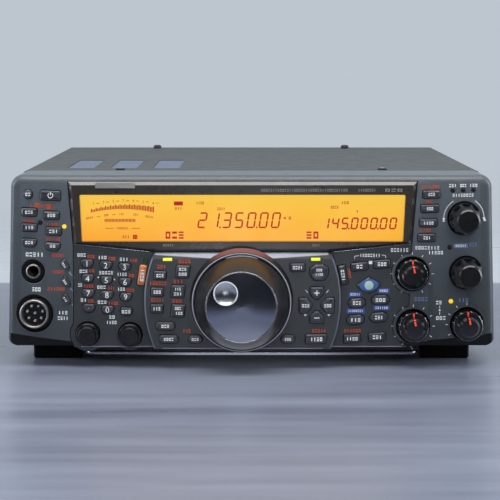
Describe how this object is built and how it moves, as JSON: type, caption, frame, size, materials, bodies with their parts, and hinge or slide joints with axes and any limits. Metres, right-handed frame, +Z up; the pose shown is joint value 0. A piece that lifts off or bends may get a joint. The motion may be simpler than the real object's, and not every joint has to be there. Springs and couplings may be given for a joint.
{
  "type": "desktop radio transceiver",
  "caption": "Desktop amateur radio transceiver with an amber display, a large tuning dial, knobs, soft-cornered keys, a folding wire stand and a finned rear.",
  "frame": {"origin": "centre of the object's bounding box on the desk, under its feet", "axes": "+X to the right as its user sees it, +Y from the front panel to the rear, +Z up"},
  "size_m": [0.2732, 0.371, 0.1094],
  "materials": {
    "panel_plastic": "satin",
    "bezel_plastic": "satin",
    "fascia_plastic": "satin",
    "key_plastic": "satin",
    "orange_key_plastic": "satin",
    "knob_rubber": "matt",
    "dial_plastic": "polished",
    "polished_cup": "polished",
    "amber_display": "lit",
    "cover_paint": "fine texture",
    "plated_steel": "plated",
    "black_plastic": "satin",
    "foot_rubber": "matt",
    "bright_metal": "polished",
    "heat_sink_aluminium": "black anodised",
    "board_laminate": "satin",
    "lamp_plastic": "clear",
    "black_steel": "black",
    "cone_paper": "matt",
    "mesh_metal": "perforated"
  },
  "bodies": {
    "case": {"front_panel": "panel_plastic", "display_bezel": "bezel_plastic", "display_module": "amber_display", "centre_fascia": "fascia_plastic", "dial_collar": "black_plastic", "rotary_controls": "plated_steel", "indicator_lamps": "lamp_plastic", "microphone_socket": "bright_metal", "microphone_insert": "black_plastic", "headphone_jack": "bright_metal", "front_feet": "foot_rubber", "rear_feet": "foot_rubber", "top_cover": "cover_paint", "bottom_cover": "cover_paint", "chassis": "plated_steel", "cover_screws": "black_steel", "speaker_mesh": "mesh_metal", "speaker": "cone_paper", "fan_frame": "black_plastic", "rear_heat_sink": "heat_sink_aluminium", "antenna_sockets": "bright_metal", "power_socket": "black_plastic", "ground_post": "bright_metal", "rear_jacks": "bright_metal", "serial_port": "plated_steel", "front_circuit_board": "board_laminate", "main_circuit_board": "board_laminate", "power_amp_board": "board_laminate"},
    "dial": {"tuning_dial": "dial_plastic", "dial_finger_cup": "polished_cup"},
    "fan": {"fan_rotor": "black_plastic"},
    "bail": {"tilt_bail": "bright_metal"},
    "filter_knob_left": {"filter_knob_left": "knob_rubber"},
    "filter_knob_right": {"filter_knob_right": "knob_rubber"},
    "offset_knob": {"offset_knob": "knob_rubber"},
    "channel_knob": {"channel_knob": "knob_rubber"},
    "audio_gain_ring": {"audio_gain_ring": "knob_rubber"},
    "audio_gain_cap": {"audio_gain_cap": "knob_rubber"},
    "monitor_gain_ring": {"monitor_gain_ring": "knob_rubber"},
    "monitor_gain_cap": {"monitor_gain_cap": "knob_rubber"},
    "squelch_gain_ring": {"squelch_gain_ring": "knob_rubber"},
    "squelch_gain_cap": {"squelch_gain_cap": "knob_rubber"},
    "power_key": {"power_key": "key_plastic"},
    "programmable_key": {"programmable_key": "key_plastic"},
    "input_level_keys": {"input_level_keys": "key_plastic"},
    "send_tuner_keys": {"send_tuner_keys": "key_plastic"},
    "notch_keys": {"notch_keys": "key_plastic"},
    "number_keys": {"number_keys": "key_plastic"},
    "function_key": {"function_key": "orange_key_plastic"},
    "transmit_keys": {"transmit_keys": "key_plastic"},
    "mode_keys": {"mode_keys": "key_plastic"},
    "display_keys": {"display_keys": "key_plastic"},
    "menu_keys": {"menu_keys": "key_plastic"},
    "cursor_keys": {"cursor_keys": "key_plastic"},
    "scan_keys": {"scan_keys": "key_plastic"},
    "call_key": {"call_key": "key_plastic"},
    "lens_key": {"lens_key": "key_plastic"},
    "vfo_keys": {"vfo_keys": "key_plastic"},
    "memory_keys": {"memory_keys": "key_plastic"},
    "offset_keys": {"offset_keys": "key_plastic"}
  },
  "joints": [
    {"name": "dial_turn", "type": "hinge", "parent": "case", "child": "dial", "pos_m": [-0.0054, -0.1555, 0.0374], "axis": [0, 1, 0], "continuous": true},
    {"name": "filter_knob_left_turn", "type": "hinge", "parent": "case", "child": "filter_knob_left", "pos_m": [-0.0912, -0.1555, 0.0185], "axis": [0, 1, 0], "continuous": true},
    {"name": "filter_knob_right_turn", "type": "hinge", "parent": "case", "child": "filter_knob_right", "pos_m": [-0.0675, -0.1555, 0.0181], "axis": [0, 1, 0], "continuous": true},
    {"name": "offset_knob_turn", "type": "hinge", "parent": "case", "child": "offset_knob", "pos_m": [0.118, -0.1555, 0.0831], "axis": [0, 1, 0], "continuous": true},
    {"name": "channel_knob_turn", "type": "hinge", "parent": "case", "child": "channel_knob", "pos_m": [0.1194, -0.1555, 0.0527], "axis": [0, 1, 0], "continuous": true},
    {"name": "audio_gain_ring_turn", "type": "hinge", "parent": "case", "child": "audio_gain_ring", "pos_m": [0.0894, -0.1555, 0.0523], "axis": [0, 1, 0], "range_deg": [-150, 150]},
    {"name": "audio_gain_cap_turn", "type": "hinge", "parent": "case", "child": "audio_gain_cap", "pos_m": [0.0894, -0.1555, 0.0523], "axis": [0, 1, 0], "range_deg": [-150, 150]},
    {"name": "monitor_gain_ring_turn", "type": "hinge", "parent": "case", "child": "monitor_gain_ring", "pos_m": [0.0902, -0.1555, 0.0229], "axis": [0, 1, 0], "range_deg": [-150, 150]},
    {"name": "monitor_gain_cap_turn", "type": "hinge", "parent": "case", "child": "monitor_gain_cap", "pos_m": [0.0902, -0.1555, 0.0229], "axis": [0, 1, 0], "range_deg": [-150, 150]},
    {"name": "squelch_gain_ring_turn", "type": "hinge", "parent": "case", "child": "squelch_gain_ring", "pos_m": [0.1203, -0.1555, 0.0237], "axis": [0, 1, 0], "range_deg": [-150, 150]},
    {"name": "squelch_gain_cap_turn", "type": "hinge", "parent": "case", "child": "squelch_gain_cap", "pos_m": [0.1203, -0.1555, 0.0237], "axis": [0, 1, 0], "range_deg": [-150, 150]},
    {"name": "bail_swing", "type": "hinge", "parent": "case", "child": "bail", "pos_m": [0, -0.1205, 0.0067], "axis": [1, 0, 0], "range_deg": [0, 95]},
    {"name": "fan_spin", "type": "hinge", "parent": "case", "child": "fan", "pos_m": [-0.075, 0.14, 0.059], "axis": [0, 1, 0], "continuous": true},
    {"name": "power_key_press", "type": "slide", "parent": "case", "child": "power_key", "axis": [0, 1, 0], "range_m": [0, 0.0008], "stiffness_N_per_m": 500, "springref_m": -0.002},
    {"name": "programmable_key_press", "type": "slide", "parent": "case", "child": "programmable_key", "axis": [0, 1, 0], "range_m": [0, 0.0008], "stiffness_N_per_m": 500, "springref_m": -0.002},
    {"name": "input_level_keys_press", "type": "slide", "parent": "case", "child": "input_level_keys", "axis": [0, 1, 0], "range_m": [0, 0.0008], "stiffness_N_per_m": 500, "springref_m": -0.002},
    {"name": "send_tuner_keys_press", "type": "slide", "parent": "case", "child": "send_tuner_keys", "axis": [0, 1, 0], "range_m": [0, 0.0008], "stiffness_N_per_m": 500, "springref_m": -0.002},
    {"name": "notch_keys_press", "type": "slide", "parent": "case", "child": "notch_keys", "axis": [0, 1, 0], "range_m": [0, 0.0008], "stiffness_N_per_m": 500, "springref_m": -0.002},
    {"name": "number_keys_press", "type": "slide", "parent": "case", "child": "number_keys", "axis": [0, 1, 0], "range_m": [0, 0.0008], "stiffness_N_per_m": 500, "springref_m": -0.002},
    {"name": "function_key_press", "type": "slide", "parent": "case", "child": "function_key", "axis": [0, 1, 0], "range_m": [0, 0.0008], "stiffness_N_per_m": 500, "springref_m": -0.002},
    {"name": "transmit_keys_press", "type": "slide", "parent": "case", "child": "transmit_keys", "axis": [0, 1, 0], "range_m": [0, 0.0008], "stiffness_N_per_m": 500, "springref_m": -0.002},
    {"name": "mode_keys_press", "type": "slide", "parent": "case", "child": "mode_keys", "axis": [0, 1, 0], "range_m": [0, 0.0008], "stiffness_N_per_m": 500, "springref_m": -0.002},
    {"name": "display_keys_press", "type": "slide", "parent": "case", "child": "display_keys", "axis": [0, 1, 0], "range_m": [0, 0.0008], "stiffness_N_per_m": 500, "springref_m": -0.002},
    {"name": "menu_keys_press", "type": "slide", "parent": "case", "child": "menu_keys", "axis": [0, 1, 0], "range_m": [0, 0.0008], "stiffness_N_per_m": 500, "springref_m": -0.002},
    {"name": "cursor_keys_press", "type": "slide", "parent": "case", "child": "cursor_keys", "axis": [0, 1, 0], "range_m": [0, 0.0008], "stiffness_N_per_m": 500, "springref_m": -0.002},
    {"name": "scan_keys_press", "type": "slide", "parent": "case", "child": "scan_keys", "axis": [0, 1, 0], "range_m": [0, 0.0008], "stiffness_N_per_m": 500, "springref_m": -0.002},
    {"name": "call_key_press", "type": "slide", "parent": "case", "child": "call_key", "axis": [0, 1, 0], "range_m": [0, 0.0008], "stiffness_N_per_m": 500, "springref_m": -0.002},
    {"name": "lens_key_press", "type": "slide", "parent": "case", "child": "lens_key", "axis": [0, 1, 0], "range_m": [0, 0.0008], "stiffness_N_per_m": 500, "springref_m": -0.002},
    {"name": "vfo_keys_press", "type": "slide", "parent": "case", "child": "vfo_keys", "axis": [0, 1, 0], "range_m": [0, 0.0008], "stiffness_N_per_m": 500, "springref_m": -0.002},
    {"name": "memory_keys_press", "type": "slide", "parent": "case", "child": "memory_keys", "axis": [0, 1, 0], "range_m": [0, 0.0008], "stiffness_N_per_m": 500, "springref_m": -0.002},
    {"name": "offset_keys_press", "type": "slide", "parent": "case", "child": "offset_keys", "axis": [0, 1, 0], "range_m": [0, 0.0008], "stiffness_N_per_m": 500, "springref_m": -0.002}
  ]
}
